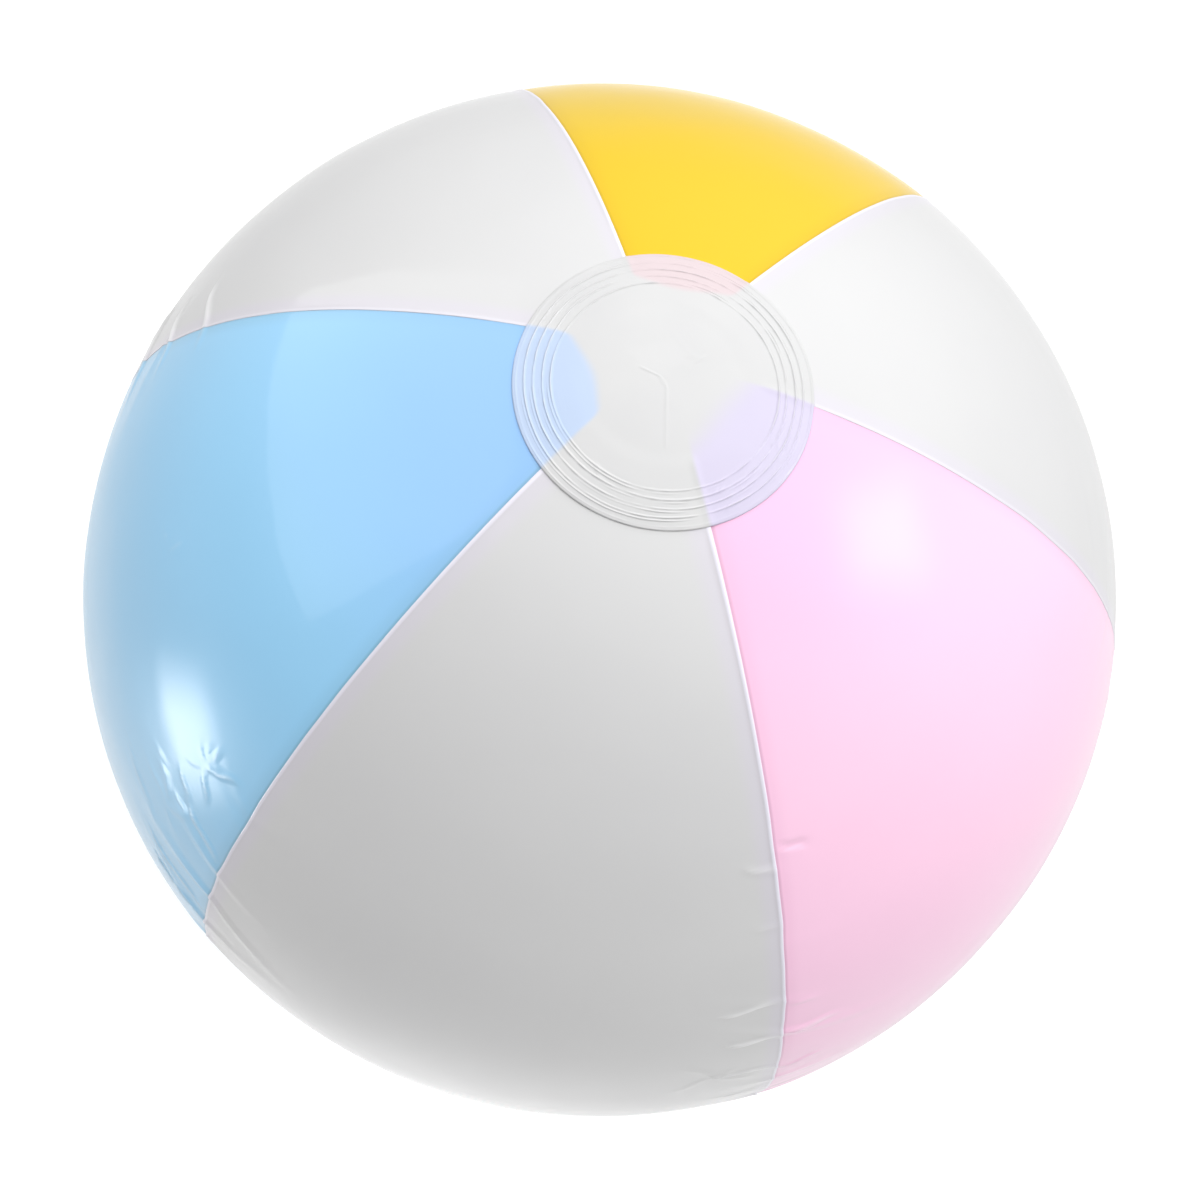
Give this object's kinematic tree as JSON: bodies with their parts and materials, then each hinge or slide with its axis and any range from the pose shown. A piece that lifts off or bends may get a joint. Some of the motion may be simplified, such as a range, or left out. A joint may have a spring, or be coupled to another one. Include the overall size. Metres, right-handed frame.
{
  "type": "inflatable beach ball",
  "caption": "Inflatable beach ball of alternating coloured and white film gores welded pole to pole, with ribbed translucent end caps and a push-in air valve with a tethered stopper.",
  "frame": {"origin": "centre of the inflated ball", "axes": "+Z along the axis through the poles, towards the top end cap; +Y through the centre line of the yellow gore; the gores' seams lie at azimuths 0, 60, 120, 180, 240 and 300 degrees"},
  "size_m": [0.324, 0.324, 0.3244],
  "materials": {
    "yellow_film": "gloss",
    "blue_film": "gloss",
    "pink_film": "gloss",
    "white_film": "gloss",
    "clear_cap_film": "gloss",
    "valve_vinyl": "satin"
  },
  "bodies": {
    "envelope": {"gore_yellow": "yellow_film", "gore_white_left": "white_film", "gore_blue": "blue_film", "gore_white_front": "white_film", "gore_pink": "pink_film", "gore_white_right": "white_film", "end_cap_top": "clear_cap_film", "end_cap_bottom": "clear_cap_film", "valve_flange": "valve_vinyl", "valve_membrane": "valve_vinyl"},
    "stem": {"valve_stem": "valve_vinyl"},
    "stopper": {"stopper": "valve_vinyl", "stopper_strap": "valve_vinyl"},
    "check_flap": {"check_flap": "valve_vinyl"}
  },
  "joints": [
    {"name": "stem_slide", "type": "slide", "parent": "envelope", "child": "stem", "axis": [-0.7094, 0.4096, -0.5736], "range_m": [0, 0.012], "deforming": ["valve_membrane"]},
    {"name": "stopper_swing", "type": "hinge", "parent": "stem", "child": "stopper", "pos_m": [-0.11819, 0.06824, -0.08579], "axis": [0.5, 0.866, 0], "range_deg": [0, 120]},
    {"name": "flap_swing", "type": "hinge", "parent": "stem", "child": "check_flap", "pos_m": [-0.10112, 0.05838, -0.08823], "axis": [0.5, 0.866, 0], "range_deg": [0, 60], "stiffness_Nm_per_rad": 0.0002}
  ]
}
